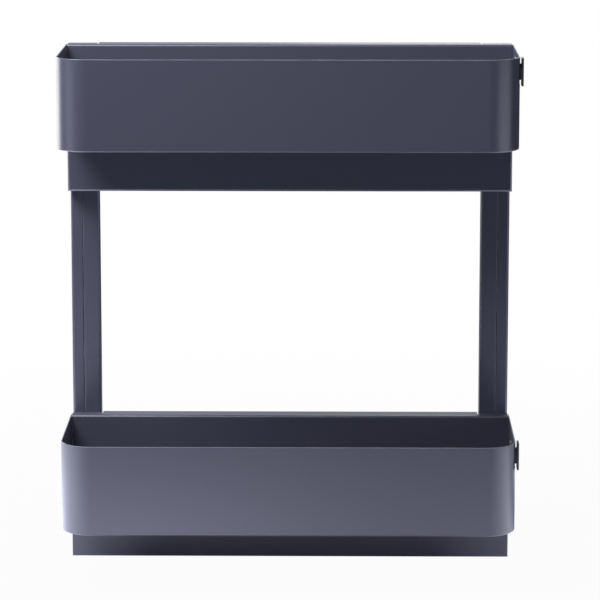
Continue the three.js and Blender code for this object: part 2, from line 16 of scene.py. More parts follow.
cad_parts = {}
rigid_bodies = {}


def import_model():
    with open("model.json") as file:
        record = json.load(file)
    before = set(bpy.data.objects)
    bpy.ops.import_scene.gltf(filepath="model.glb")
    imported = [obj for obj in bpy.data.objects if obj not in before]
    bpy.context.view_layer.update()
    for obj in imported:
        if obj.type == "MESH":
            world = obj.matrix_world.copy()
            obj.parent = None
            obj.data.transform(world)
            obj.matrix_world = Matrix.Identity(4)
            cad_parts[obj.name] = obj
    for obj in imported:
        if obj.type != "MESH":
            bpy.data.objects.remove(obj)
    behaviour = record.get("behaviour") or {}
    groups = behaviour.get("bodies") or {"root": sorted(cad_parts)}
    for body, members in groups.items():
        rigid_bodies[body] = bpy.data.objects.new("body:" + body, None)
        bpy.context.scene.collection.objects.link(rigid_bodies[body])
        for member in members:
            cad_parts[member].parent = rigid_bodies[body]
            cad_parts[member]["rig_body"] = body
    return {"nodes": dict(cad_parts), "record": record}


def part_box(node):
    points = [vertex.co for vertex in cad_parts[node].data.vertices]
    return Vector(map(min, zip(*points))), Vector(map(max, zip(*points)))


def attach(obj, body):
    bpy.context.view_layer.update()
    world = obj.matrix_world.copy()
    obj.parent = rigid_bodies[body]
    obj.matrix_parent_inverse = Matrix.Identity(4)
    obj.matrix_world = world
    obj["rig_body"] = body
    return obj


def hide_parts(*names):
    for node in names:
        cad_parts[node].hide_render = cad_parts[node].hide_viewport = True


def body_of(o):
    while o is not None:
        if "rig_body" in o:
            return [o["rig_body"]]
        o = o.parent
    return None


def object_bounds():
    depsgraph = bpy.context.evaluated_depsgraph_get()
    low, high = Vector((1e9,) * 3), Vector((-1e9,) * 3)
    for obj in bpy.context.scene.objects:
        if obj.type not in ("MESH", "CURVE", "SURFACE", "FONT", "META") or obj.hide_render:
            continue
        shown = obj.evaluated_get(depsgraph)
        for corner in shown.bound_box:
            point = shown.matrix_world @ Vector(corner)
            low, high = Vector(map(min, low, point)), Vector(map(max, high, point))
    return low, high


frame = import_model()
cad_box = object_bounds()
MM = 0.001

# %% [markdown]
# ## The camera
#
# The picture was taken with a long lens, slightly from above and almost square on. A long lens keeps the
# upright edges nearly parallel. The numbers below come from matching the rack's known edges with the
# same edges in the picture, so the camera is settled before any surface is made.

# %% Camera
CAMERA_TARGET = Vector((0.0117, -0.1218, 0.2625))
CAMERA_DISTANCE = 3.268
CAMERA_TURN = math.radians(0.66)
CAMERA_RISE = math.radians(10.42)
SENSOR_WIDTH_MM = 36
LENS_MM = 193.5
FAR_END = 50


def outwards(turn, rise):
    """The direction from the rack to a camera or lamp, turned to the right of the front and raised."""
    return Vector((math.sin(turn) * math.cos(rise), -math.cos(turn) * math.cos(rise), math.sin(rise)))


backwards = outwards(CAMERA_TURN, CAMERA_RISE)
lens = bpy.data.cameras.new("long_lens")
lens.sensor_width = SENSOR_WIDTH_MM
lens.lens = LENS_MM
lens.clip_end = FAR_END
camera = bpy.data.objects.new("camera", lens)
camera.location = CAMERA_TARGET + CAMERA_DISTANCE * backwards
camera.rotation_euler = backwards.to_track_quat("Z", "Y").to_euler()
bpy.context.scene.collection.objects.link(camera)
bpy.context.scene.camera = camera
print("camera at", [round(c, 3) for c in camera.location])

# %% [markdown]
# ## Node groups for the finishes
#
# Several finishes share an effect, so each effect is built once as a node group with named sockets. A
# group only puts out values that change over the surface; the shader itself stays in each material. All
# of them read Object coordinates, which are metres here, so a scale of 700 gives a grain of about 1.4 mm.

# %% Helpers for node trees
def new_group(name, inputs, outputs):
    """An empty shader node group. An input with a value is a number, one without is a vector."""
    group = bpy.data.node_groups.new(name, "ShaderNodeTree")
    for label, value in inputs.items():
        kind = "NodeSocketVector" if value is None else "NodeSocketFloat"
        socket = group.interface.new_socket(name=label, in_out="INPUT", socket_type=kind)
        if value is not None:
            socket.default_value = value
    for label in outputs:
        group.interface.new_socket(name=label, in_out="OUTPUT", socket_type="NodeSocketFloat")
    return group, group.nodes.new("NodeGroupInput"), group.nodes.new("NodeGroupOutput")


def add_node(tree, kind, links=None, **settings):
    """A node with some settings, its inputs set to values or joined to other sockets."""
    node = tree.nodes.new(kind)
    for key, value in settings.items():
        setattr(node, key, value)
    for label, value in (links or {}).items():
        if isinstance(value, bpy.types.NodeSocket):
            tree.links.new(value, node.inputs[label])
        else:
            node.inputs[label].default_value = value
    return node


def combine(tree, operation, a, b):
    """The result of a math node on two values or sockets."""
    return add_node(tree, "ShaderNodeMath", {0: a, 1: b}, operation=operation).outputs[0]


# %% [markdown]
# ### Orange peel
#
# Powder melts and flows in the oven, and it dries with a skin like an orange's: shallow dimples about a
# millimetre apart on longer, flatter waves. One noise at each scale gives both. The first output is a
# height for a bump, and the second is the same dimples as a faint change of tone.

# %% Node group: orange peel
WAVE_SHARE = 6.0
peel, peel_in, peel_out = new_group(
    "orange_peel",
    {"Vector": None, "Grain": 700.0, "Waves": 14.0},
    ["Height", "Tone"],
)
dimples = add_node(peel, "ShaderNodeTexNoise", {
    "Vector": peel_in.outputs["Vector"], "Scale": peel_in.outputs["Grain"], "Detail": 2.0, "Roughness": 0.5,
})
waves = add_node(peel, "ShaderNodeTexNoise", {
    "Vector": peel_in.outputs["Vector"], "Scale": peel_in.outputs["Waves"], "Detail": 1.0, "Roughness": 0.4,
})
wave_height = combine(peel, "MULTIPLY", waves.outputs["Fac"], WAVE_SHARE)
height = combine(peel, "ADD", dimples.outputs["Fac"], wave_height)
peel.links.new(height, peel_out.inputs["Height"])
peel.links.new(dimples.outputs["Fac"], peel_out.inputs["Tone"])
print("group:", peel.name)

# %% [markdown]
# ### Edge wear and painted edge highlights
#
# Paint and plating are thinnest on a cut edge, and that is where hands and boxes start rubbing. Every mesh
# below carries a face attribute that is 1 on its rounded edges. This group breaks that line up with noise,
# so the wear comes and goes as it does on a real edge. On the powder coat the same mask also paints a pale
# highlight along the rounded rims.

# %% Node group: rubbed edges
EDGE_ATTRIBUTE = "rounded_edge"
wear_highlight_group, wear_highlight_inputs, wear_highlight_outputs = new_group(
    "rubbed_edges",
    {"Vector": None, "Patches": 60.0, "Amount": 0.5},
    ["Mask"],
)
edge = add_node(wear_highlight_group, "ShaderNodeAttribute", attribute_name=EDGE_ATTRIBUTE)
patches = add_node(wear_highlight_group, "ShaderNodeTexNoise", {
    "Vector": wear_highlight_inputs.outputs["Vector"], "Scale": wear_highlight_inputs.outputs["Patches"], "Detail": 3.0,
})
patch_mask = add_node(wear_highlight_group, "ShaderNodeMapRange", {
    "Value": patches.outputs["Fac"], "From Min": 0.35, "From Max": 0.65, "To Min": 0.25, "To Max": 1.0,
})
# Painted highlight as well as wear: on the powder coat this mask also lightens the rounded rims.
on_edge = combine(wear_highlight_group, "MULTIPLY", edge.outputs["Fac"], patch_mask.outputs["Result"])
worn_and_highlit = combine(wear_highlight_group, "MULTIPLY", on_edge, wear_highlight_inputs.outputs["Amount"])
wear_highlight_group.links.new(worn_and_highlit, wear_highlight_outputs.inputs["Mask"])
print("group:", wear_highlight_group.name)

# %% [markdown]
# ### Rolling lines
#
# The runners are cold-rolled strip, and the rolls leave fine lines along the strip. Noise stretched along
# X draws them. A coarser noise on top stands for the cloudy tone of zinc plating.

# %% Node group: rolling lines
ALONG_THE_STRIP = 0.012
rolled, rolled_in, rolled_out = new_group(
    "rolling_lines",
    {"Vector": None, "Lines": 900.0, "Clouds": 45.0},
    ["Line", "Cloud"],
)
stretch = add_node(rolled, "ShaderNodeMapping", {
    "Vector": rolled_in.outputs["Vector"], "Scale": (ALONG_THE_STRIP, 1.0, 1.0),
})
lines = add_node(rolled, "ShaderNodeTexNoise", {
    "Vector": stretch.outputs["Vector"], "Scale": rolled_in.outputs["Lines"], "Detail": 2.0,
})
clouds = add_node(rolled, "ShaderNodeTexNoise", {
    "Vector": rolled_in.outputs["Vector"], "Scale": rolled_in.outputs["Clouds"], "Detail": 3.0,
})
rolled.links.new(lines.outputs["Fac"], rolled_out.inputs["Line"])
rolled.links.new(clouds.outputs["Fac"], rolled_out.inputs["Cloud"])
print("group:", rolled.name)

# %% [markdown]
# ## The finishes
#
# Each material places the groups with its own values. A few helpers do what every finish needs: a colour
# between two tones, a roughness that varies and a bump. What is the same all over a surface, such as how
# metallic it is, is set on the shader itself.

# %% Helpers for materials
def new_material(name):
    """A material with nodes, its tree, its shader and a socket of Object coordinates."""
    material = bpy.data.materials.new(name)
    material.use_nodes = True
    tree = material.node_tree
    shader = tree.nodes["Principled BSDF"]
    place = tree.nodes.new("ShaderNodeTexCoord").outputs["Object"]
    return material, tree, shader, place


def use_group(tree, group, **values):
    """A group placed in a material, with its inputs set or joined."""
    return add_node(tree, "ShaderNodeGroup", values, node_tree=group)


def two_tone(tree, factor, first, second):
    """A colour between two others, of which the first may come from another node."""
    if not isinstance(first, bpy.types.NodeSocket):
        first = (*first, 1)
    mix = add_node(
        tree, "ShaderNodeMix", {"Factor": factor, "A": first, "B": (*second, 1)}, data_type="RGBA",
    )
    return mix.outputs["Result"]


def vary_roughness(tree, shader, factor, low, high):
    """Moves the shader's roughness between two values."""
    ranged = add_node(tree, "ShaderNodeMapRange", {"Value": factor, "To Min": low, "To Max": high})
    tree.links.new(ranged.outputs["Result"], shader.inputs["Roughness"])


def add_bump(tree, shader, height, distance, strength):
    """Gives the shader a bump of so many metres."""
    bump = add_node(tree, "ShaderNodeBump", {"Height": height, "Distance": distance, "Strength": strength})
    tree.links.new(bump.outputs["Normal"], shader.inputs["Normal"])


# %% [markdown]
# ### Powder coat
#
# The coat is a dark blue-grey plastic paint baked onto the steel. It isn't a metal, so its colour is in
# the base and its sheen comes from the surface reflection. A flat colour would look like card: the dimples
# break up the sheen. The rounded edges are painted paler, partly because a cut edge has a thinner coat and
# partly as a painted highlight along the rims.

# %% Powder coat
PEEL_DEPTH = 0.00004
COAT_DARK = (0.0540, 0.0562, 0.0870)
COAT_LIGHT = (0.0643, 0.0672, 0.1005)
# The pale edge tone is partly a thinner coat at cut edges and partly a painted highlight on the rims.
COAT_THIN_AND_HIGHLIT = (0.190, 0.200, 0.250)

coat, tree, shader, place = new_material("powder_coat")
skin = use_group(tree, peel, Vector=place, Grain=700.0, Waves=9.0)
edge_wear_and_highlight = use_group(tree, wear_highlight_group, Vector=place, Patches=45.0, Amount=0.6)
tone = two_tone(tree, skin.outputs["Tone"], COAT_DARK, COAT_LIGHT)
# Painted highlight: the rounded edges are mixed towards the pale edge tone, which also stands for a thinner
# coat.
thinned_and_highlit = two_tone(tree, edge_wear_and_highlight.outputs["Mask"], tone, COAT_THIN_AND_HIGHLIT)
tree.links.new(thinned_and_highlit, shader.inputs["Base Color"])
shader.inputs["IOR"].default_value = 1.55
vary_roughness(tree, shader, skin.outputs["Tone"], 0.30, 0.40)
add_bump(tree, shader, skin.outputs["Height"], PEEL_DEPTH, strength=0.25)
print("material:", coat.name)

# %% [markdown]
# ### Zinc plate and bright steel
#
# The runner channels are zinc-plated strip, and the balls, cages and screws are bright steel. Both are
# metals, so what they show is mostly the room. The zinc's roughness changes from one rolling line to the
# next, which draws a reflection out across the strip.

# %% Zinc plate and bright steel
LINE_DEPTH = 0.00003
ZINC_DARK, ZINC_LIGHT = (0.40, 0.42, 0.44), (0.56, 0.58, 0.60)
STEEL_GREY, STEEL_BRIGHT = (0.36, 0.37, 0.39), (0.55, 0.56, 0.58)

zinc, tree, shader, place = new_material("zinc_plate")
strip = use_group(tree, rolled, Vector=place, Lines=900.0, Clouds=45.0)
cloudy = two_tone(tree, strip.outputs["Cloud"], ZINC_DARK, ZINC_LIGHT)
tree.links.new(cloudy, shader.inputs["Base Color"])
shader.inputs["Metallic"].default_value = 1.0
vary_roughness(tree, shader, strip.outputs["Line"], 0.22, 0.42)
add_bump(tree, shader, strip.outputs["Line"], LINE_DEPTH, strength=0.4)

steel, tree, shader, place = new_material("bright_steel")
strip = use_group(tree, rolled, Vector=place, Lines=1400.0, Clouds=120.0)
edge_wear_and_highlight = use_group(tree, wear_highlight_group, Vector=place, Patches=200.0, Amount=0.6)
polished = two_tone(tree, edge_wear_and_highlight.outputs["Mask"], STEEL_GREY, STEEL_BRIGHT)
tree.links.new(polished, shader.inputs["Base Color"])
shader.inputs["Metallic"].default_value = 1.0
vary_roughness(tree, shader, strip.outputs["Cloud"], 0.18, 0.34)
print("materials:", zinc.name, steel.name)

# %% [markdown]
# ### Clip plastic and rubber
#
# The clips are moulded in a spark-eroded tool, which leaves a fine even grain. The bumpers are soft black
# rubber with a dusty bloom. Both take the orange peel group with a finer grain, and more roughness.

# %% Clip plastic and rubber
GRAIN_DEPTH = 0.00004
RUBBER_DEPTH = 0.00005
CLIP_DARK, CLIP_PALE = (0.022, 0.024, 0.031), (0.060, 0.062, 0.070)
RUBBER_DARK, RUBBER_DUSTY = (0.010, 0.010, 0.011), (0.020, 0.020, 0.021)

clip_plastic, tree, shader, place = new_material("clip_plastic")
grain = use_group(tree, peel, Vector=place, Grain=1800.0, Waves=60.0)
edge_wear_and_highlight = use_group(tree, wear_highlight_group, Vector=place, Patches=160.0, Amount=0.5)
handled = two_tone(tree, edge_wear_and_highlight.outputs["Mask"], CLIP_DARK, CLIP_PALE)
tree.links.new(handled, shader.inputs["Base Color"])
vary_roughness(tree, shader, grain.outputs["Tone"], 0.45, 0.62)
add_bump(tree, shader, grain.outputs["Height"], GRAIN_DEPTH, strength=0.4)

rubber, tree, shader, place = new_material("black_rubber")
grain = use_group(tree, peel, Vector=place, Grain=1500.0, Waves=80.0)
dull = two_tone(tree, grain.outputs["Tone"], RUBBER_DARK, RUBBER_DUSTY)
tree.links.new(dull, shader.inputs["Base Color"])
vary_roughness(tree, shader, grain.outputs["Tone"], 0.70, 0.90)
add_bump(tree, shader, grain.outputs["Height"], RUBBER_DEPTH, strength=0.5)
print("materials:", clip_plastic.name, rubber.name)

# %% [markdown]
# ## From folded line to sheet
#
# Every sheet-metal piece on this rack starts as a flat strip that goes through a press brake. Its section
# is a line of straight runs and round bends. The same can be drawn here: a run extrudes the last vertex
# along the heading, and a bend spins it about the bend's centre. Extruding the line sideways makes the
# sheet, and a solidify gives it its gauge, half to each side of the line.

# %% Helpers for folded sheet
TOUCHING = 0.001
NEAR = 0.01
FACING = 0.99
FLAT = math.radians(1)
DEGREES_PER_STEP = 12


def box_mm(node):
    """The lowest and highest corner of a CAD node, in millimetres."""
    low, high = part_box(node)
    return low / MM, high / MM


def middle_mm(node):
    """The middle of a CAD node, in millimetres."""
    return sum(box_mm(node), Vector()) / 2


def verts_of(geometry):
    return [g for g in geometry if isinstance(g, bmesh.types.BMVert)]


def fold_line(bm, start, heading, moves, axis="X"):
    """Draws runs (length,) and bends (radius, degrees) from a start point, across X or across Z."""
    across = Vector((axis == "X", 0, axis == "Z"))

    def in_section(u, v):
        return Vector((0, u, v)) if axis == "X" else Vector((u, v, 0))

    tip = bm.verts.new(in_section(*start))
    heading = math.radians(heading)
    for move in moves:
        if len(move) == 1:
            step = move[0] * in_section(math.cos(heading), math.sin(heading))
            tip = bmesh.ops.extrude_vert_indiv(bm, verts=[tip])["verts"][0]
            bmesh.ops.translate(bm, vec=step, verts=[tip])
            continue
        radius, degrees = move
        side = math.copysign(1, degrees)
        centre = tip.co + side * radius * in_section(-math.sin(heading), math.cos(heading))
        turn = math.radians(degrees)
        turned = bmesh.ops.spin(
            bm, geom=[tip], cent=centre, axis=across, angle=turn,
            steps=max(3, round(abs(degrees) / DEGREES_PER_STEP)), use_duplicate=False,
        )
        tip = verts_of(turned["geom_last"])[0]
        heading += turn


def draw_out(bm, edges, vector):
    """Extrudes edges into faces along a vector and returns the far edges."""
    grown = bmesh.ops.extrude_edge_only(bm, edges=edges)["geom"]
    bmesh.ops.translate(bm, vec=vector, verts=verts_of(grown))
    return [g for g in grown if isinstance(g, bmesh.types.BMEdge)]


def even_out(bm):
    """Joins doubled vertices and turns every face the same way."""
    bmesh.ops.remove_doubles(bm, verts=bm.verts, dist=TOUCHING)
    bmesh.ops.recalc_face_normals(bm, faces=bm.faces)


def join_flat_faces(bm):
    """Joins neighbouring faces that lie in one plane, because their seams would stop a bevel."""
    bmesh.ops.dissolve_limit(bm, angle_limit=FLAT, verts=bm.verts, edges=bm.edges)


def thicken(bm, gauge):
    """Gives a sheet its gauge, half on each side."""
    even_out(bm)
    bm.normal_update()
    for vert in bm.verts:
        vert.co += vert.normal * vert.calc_shell_factor() * gauge / 2
    bmesh.ops.solidify(bm, geom=bm.faces[:], thickness=gauge)


def bevel(bm, geom, radius, segments, affect="EDGES", clamp=False):
    """A round bevel: of edges, or of the corners of a flat face."""
    return bmesh.ops.bevel(
        bm, geom=geom, offset=radius, offset_type="OFFSET", affect=affect,
        segments=segments, profile=0.5, clamp_overlap=clamp, material=-1,
    )


def round_edges(bm, radius, segments=2, sharper_than=50, keep=()):
    """Rounds every sharp edge, apart from those to keep, and marks the new faces for edge wear and painted
    edge highlights.
    """
    bm.normal_update()
    limit = math.radians(sharper_than)
    sharp = [e for e in bm.edges if e.is_manifold and e.calc_face_angle() > limit and e not in keep]
    layer = bm.faces.layers.float.new(EDGE_ATTRIBUTE)
    for face in bevel(bm, sharp, radius, segments, clamp=True)["faces"]:
        face[layer] = 1.0


# %% [markdown]
# ## Standing in for a CAD node
#
# Every finished mesh takes the place of one CAD node: it rides on the same body and names the same
# material slot. Modelling is in millimetres, and the mesh is scaled to metres at the end. Weighted
# normals keep the large flat faces flat beside their small rounded edges.

# %% Helper for finished pieces
SLOT_OF = {part["node"]: part["material_slot"] for part in frame["record"]["subparts"]}
FINISH_OF = {"coat": coat, "zinc": zinc, "steel": steel, "clip": clip_plastic, "rubber": rubber}
print("finishes for", len(SLOT_OF), "nodes:", ", ".join(FINISH_OF))


def stand_in(node, bm):
    """Makes a mesh the shown form of a CAD node, with the finish of its slot."""
    bmesh.ops.scale(bm, vec=(MM, MM, MM), verts=bm.verts)
    mesh = bpy.data.meshes.new(f"{node}_shown")
    bm.to_mesh(mesh)
    bm.free()
    mesh.shade_smooth()
    mesh.materials.append(FINISH_OF[SLOT_OF[node]])
    piece = bpy.data.objects.new(mesh.name, mesh)
    bpy.context.scene.collection.objects.link(piece)
    piece.modifiers.new("flat faces", "WEIGHTED_NORMAL")
    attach(piece, body_of(frame["nodes"][node])[0])
    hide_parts(node)
    return piece


# %% [markdown]
# ## Bin bands
#
# The front and both ends of a bin are one strip, bent round two large corners, with its lower edge folded
# in as a ledge for the floor. Sweeping a section round the plan would leave the corners to chance. Here the
# band is carved from its outside instead: raise the plan to a block, round the lower edge, open the top,
# the back and the floor, and give what is left its gauge.

# %% Bin bands
LEVELS = ("lower", "upper")
SHEET = 1.2
CUT_EDGE = 0.5
BIN_CORNER = 32.0
BIN_FOLD = 1.6
LEDGE = 13.2
PAST_THE_BACK = 40.0
SLOT_FRONT, SLOT_BACK = -9.0, 3.3
SLOT_LOW, SLOT_HIGH = -11.0, 8.3
LEANING = 0.1


def cut(bm, faces, point, normal, clear=False):
    """Cuts faces with a plane, and can throw away what lies on the normal's side."""
    edges = {e for f in faces for e in f.edges}
    verts = {v for f in faces for v in f.verts}
    bmesh.ops.bisect_plane(
        bm, geom=[*verts, *edges, *faces], plane_co=point, plane_no=normal, clear_outer=clear, dist=TOUCHING,
    )


def clip_slot(bm, clip_low, clip_high):
    """Opens the slot for the clip's neck in the right end wall."""
    clip = (clip_low + clip_high) / 2
    low = Vector((0, clip.y + SLOT_FRONT, clip.z + SLOT_LOW))
    high = Vector((0, clip.y + SLOT_BACK, clip.z + SLOT_HIGH))

    def wall():
        near_x = clip_low.x - BIN_CORNER / 2
        return [f for f in bm.faces if f.calc_center_median().x > near_x and f.normal.z > -LEANING]

    for point, normal in ((low, (0, 1, 0)), (high, (0, 1, 0)), (low, (0, 0, 1)), (high, (0, 0, 1))):
        cut(bm, wall(), point, normal)
    inside = [
        f for f in wall()
        if low.y < f.calc_center_median().y < high.y and low.z < f.calc_center_median().z < high.z
    ]
    bmesh.ops.delete(bm, geom=inside, context="FACES")


def bin_band(level):
    low, high = box_mm(f"{level}_bin_band")
    back = high.y + PAST_THE_BACK
    bm = bmesh.new()
    corners = ((low.x, low.y), (high.x, low.y), (high.x, back), (low.x, back))
    plan = [bm.verts.new((x, y, low.z)) for x, y in corners]
    bm.faces.new(plan)
    bevel(bm, plan[:2], BIN_CORNER, segments=24, affect="VERTICES")
    raised = bmesh.ops.extrude_face_region(bm, geom=bm.faces[:])
    bmesh.ops.translate(bm, vec=(0, 0, high.z - low.z), verts=verts_of(raised["geom"]))
    even_out(bm)
    bottom = [e for e in bm.edges if all(abs(v.co.z - low.z) < NEAR for v in e.verts)]
    bevel(bm, bottom, BIN_FOLD, segments=6)
    bm.normal_update()
    floor = [f for f in bm.faces if f.normal.z < -FACING and f.calc_area() > BIN_CORNER ** 2]
    bmesh.ops.inset_region(bm, faces=floor, thickness=LEDGE - BIN_FOLD, use_even_offset=True)
    top = [f for f in bm.faces if f.normal.z > FACING]
    bmesh.ops.delete(bm, geom=floor + top, context="FACES")
    cut(bm, bm.faces[:], (0, high.y, 0), (0, 1, 0), clear=True)
    clip_slot(bm, *box_mm(f"{level}_end_clip"))
    bmesh.ops.solidify(bm, geom=bm.faces[:], thickness=SHEET)
    round_edges(bm, CUT_EDGE, segments=3)
    return stand_in(f"{level}_bin_band", bm)


for level in LEVELS:
    piece = bin_band(level)
    print(piece.name, len(piece.data.polygons), "faces")

# %% [markdown]
# ## Bin trays
#
# Floor, back wall and hook come from one sheet. The back wall ends in a flange that lies over the panel's
# top edge. Between the posts the flange runs further back and turns down as a lip that hooks the bin on;
# two slits part it from the short flaps above the posts. All of it is folded from one line, then cut. Small
# reliefs keep the cuts clear of the bends, so that every edge can still be rounded.

# %% Bin trays
TRAY_BEND = 2.1
HOOK_BEND = 1.0
HOOK_HALF = 197.0
HOOK_SLIT = 1.2
FLAP_DEPTH = 14.3
LIP_DROP = 10.0
FLOOR_INSET = 2.9
RELIEF = 0.8


def bin_tray(level):
    low, high = box_mm(f"{level}_bin_tray")
    band_high = box_mm(f"{level}_bin_band")[1]
    back, half_floor = band_high.y, band_high.x - FLOOR_INSET
    wall_y, floor_z, flange_z = back - SHEET / 2, low.z + SHEET / 2, high.z - SHEET / 2
    bm = bmesh.new()
    fold_line(bm, (low.y, floor_z), 0, [
        (wall_y - TRAY_BEND - low.y,),
        (TRAY_BEND, 90),
        (flange_z - floor_z - 2 * TRAY_BEND,),
        (TRAY_BEND, -90),
        (back + FLAP_DEPTH - wall_y - TRAY_BEND,),
    ])
    bmesh.ops.translate(bm, vec=(-half_floor, 0, 0), verts=bm.verts)
    draw_out(bm, bm.edges[:], (2 * half_floor, 0, 0))
    corners = [v for v in bm.verts if v.co.y < low.y + NEAR]
    bevel(bm, corners, BIN_CORNER - FLOOR_INSET, segments=16, affect="VERTICES")
    bm.normal_update()
    wall_foot = floor_z + TRAY_BEND + RELIEF
    cut(bm, [f for f in bm.faces if abs(f.normal.y) > FACING], (0, 0, wall_foot), (0, 0, 1))
    for side in (-1, 1):
        ends = [
            e for e in bm.edges
            if all(v.co.x * side > half_floor - NEAR and v.co.z > wall_foot - NEAR for v in e.verts)
        ]
        draw_out(bm, ends, (side * (high.x - half_floor), 0, 0))

    def flange():
        return [
            f for f in bm.faces
            if all(abs(v.co.z - flange_z) < NEAR and v.co.y > wall_y for v in f.verts)
        ]

    slit_front = wall_y + TRAY_BEND + RELIEF
    cut(bm, flange(), (0, slit_front, 0), (0, 1, 0))
    for x in (-HOOK_HALF - HOOK_SLIT, -HOOK_HALF, HOOK_HALF, HOOK_HALF + HOOK_SLIT):
        cut(bm, flange(), (x, 0, 0), (1, 0, 0))
    slits = [
        f for f in flange()
        if HOOK_HALF < abs(f.calc_center_median().x) < HOOK_HALF + HOOK_SLIT
        and f.calc_center_median().y > slit_front
    ]
    bmesh.ops.delete(bm, geom=slits, context="FACES")
    rear = [
        e for e in bm.edges
        if all(abs(v.co.x) < HOOK_HALF + NEAR and v.co.y > back + FLAP_DEPTH - NEAR for v in e.verts)
    ]
    turned = draw_out(bm, rear, (0, high.y - SHEET / 2 - back - FLAP_DEPTH, 0))
    draw_out(bm, turned, (0, 0, -LIP_DROP - HOOK_BEND))
    bevel(bm, turned, HOOK_BEND, segments=4)
    join_flat_faces(bm)
    thicken(bm, SHEET)
    round_edges(bm, CUT_EDGE, segments=3)
    return stand_in(f"{level}_bin_tray", bm)


for level in LEVELS:
    piece = bin_tray(level)
    print(piece.name, len(piece.data.polygons), "faces")

# %% [markdown]
# ## Carrier panels
#
# A carrier panel is a shallow pan: a web with four flanges folded back. It starts as a box, loses its back
# face, and gets its four front edges rounded as bends. The flanges are cut shorter beside the posts. The
# mitred corners of the bends stay as they are, because a bevel along such short edges would fail.

# %% Carrier panels
PANEL_FOLD = 2.4
FLANGE_BY_POSTS = 14.0


def carrier_panel(level):
    low, high = box_mm(f"{level}_panel")
    bm = bmesh.new()
    bmesh.ops.create_cube(bm, size=1)
    bmesh.ops.scale(bm, vec=high - low, verts=bm.verts)
    bmesh.ops.translate(bm, vec=(low + high) / 2, verts=bm.verts)
    front = [e for e in bm.edges if all(v.co.y < low.y + NEAR for v in e.verts)]
    bevel(bm, front, PANEL_FOLD, segments=5)
    open_back = [f for f in bm.faces if f.calc_center_median().y > high.y - NEAR]
    bmesh.ops.delete(bm, geom=open_back, context="FACES")
    by_posts = low.y + FLANGE_BY_POSTS
    cut(bm, bm.faces[:], (0, by_posts, 0), (0, 1, 0))
    for x in (-HOOK_HALF, HOOK_HALF):
        cut(bm, [f for f in bm.faces if f.calc_center_median().y > by_posts], (x, 0, 0), (1, 0, 0))
    spare = [
        f for f in bm.faces
        if f.calc_center_median().y > by_posts and abs(f.calc_center_median().x) > HOOK_HALF
    ]
    bmesh.ops.delete(bm, geom=spare, context="FACES")
    join_flat_faces(bm)
    bmesh.ops.solidify(bm, geom=bm.faces[:], thickness=SHEET)
    bm.normal_update()
    fold_end = low.y + PANEL_FOLD - NEAR
    mitres = {e for e in bm.edges if not e.is_convex or any(v.co.y < fold_end for v in e.verts)}
    round_edges(bm, CUT_EDGE, keep=mitres)
    return stand_in(f"{level}_panel", bm)


for level in LEVELS:
    piece = carrier_panel(level)
    print(piece.name, len(piece.data.polygons), "faces")

# %% [markdown]
# ## Holes in a flat face
#
# Posts, brackets and runners have round holes. A Boolean would do, but it needs cutter objects and leaves
# long thin triangles. Four cuts part a square patch from the face. Its sides are divided and inset, the
# inner ring is moved onto a circle, and the middle is deleted.

# %% Helper for punched holes
HOLE_SIDES = 6
PATCH_REACH = 1.3
PATCH_RIM = 0.1


def punch(bm, x, y, z, radius):
    """Punches a round hole along Y through the flat face at y that holds the point (x, z)."""
    point = Vector((x, y, z))

    def face_here():
        for f in bm.faces:
            spans = [[v.co[i] for v in f.verts] for i in range(3)]
            if all(min(s) - NEAR <= point[i] <= max(s) + NEAR for i, s in enumerate(spans)):
                return f

    reach = radius * PATCH_REACH
    for offset in ((-reach, 0, 0), (reach, 0, 0), (0, 0, -reach), (0, 0, reach)):
        cut(bm, [face_here()], point + Vector(offset), Vector(offset).normalized())
    patch = face_here()
    bmesh.ops.subdivide_edges(bm, edges=patch.edges[:], cuts=HOLE_SIDES - 1)
    patch = face_here()
    bmesh.ops.inset_region(bm, faces=[patch], thickness=reach * PATCH_RIM, use_even_offset=True)
    for vert in patch.verts:
        vert.co = point + radius * (vert.co - point).normalized()
    bmesh.ops.delete(bm, geom=[patch], context="FACES")


# %% [markdown]
# ## Posts
#
# Each post is a strip rolled into a box section. Its two edges meet on the front face and leave a fine
# seam, about 12 mm in from the outer side. From behind, four large holes let a driver reach the screws
# that hold the post to its brackets.

# %% Posts
POST_BEND = 2.0
SEAM_IN = 12.2
SEAM_GAP = 0.5
SCREW_HOLE = 2.3
DRIVER_HOLE = 5.0


def post(hand, side):
    node = f"{hand}_post"
    low, high = box_mm(node)
    width, depth = high.x - low.x - SHEET, high.y - low.y - SHEET
    centre = (low + high) / 2
    seam_x = width / 2 + SHEET / 2 - SEAM_IN
    bm = bmesh.new()
    fold_line(bm, (seam_x + SEAM_GAP / 2, -depth / 2), 0, [
        (width / 2 - seam_x - SEAM_GAP / 2 - POST_BEND,),
        (POST_BEND, 90),
        (depth - 2 * POST_BEND,),
        (POST_BEND, 90),
        (width - 2 * POST_BEND,),
        (POST_BEND, 90),
        (depth - 2 * POST_BEND,),
        (POST_BEND, 90),
        (width / 2 + seam_x - SEAM_GAP / 2 - POST_BEND,),
    ], axis="Z")
    bmesh.ops.scale(bm, vec=(side, 1, 1), verts=bm.verts)
    bmesh.ops.translate(bm, vec=(centre.x, centre.y, low.z), verts=bm.verts)
    draw_out(bm, bm.edges[:], (0, 0, high.z - low.z))
    for screw in [n for n in frame["nodes"] if n.endswith("screw") and f"{hand}_post" in n]:
        at = middle_mm(screw)
        punch(bm, at.x, low.y + SHEET / 2, at.z, SCREW_HOLE)
        punch(bm, at.x, high.y - SHEET / 2, at.z, DRIVER_HOLE)
    thicken(bm, SHEET)
    round_edges(bm, CUT_EDGE)
    return stand_in(node, bm)


for hand, side in (("left", -1), ("right", 1)):
    piece = post(hand, side)
    print(piece.name, len(piece.data.polygons), "faces")

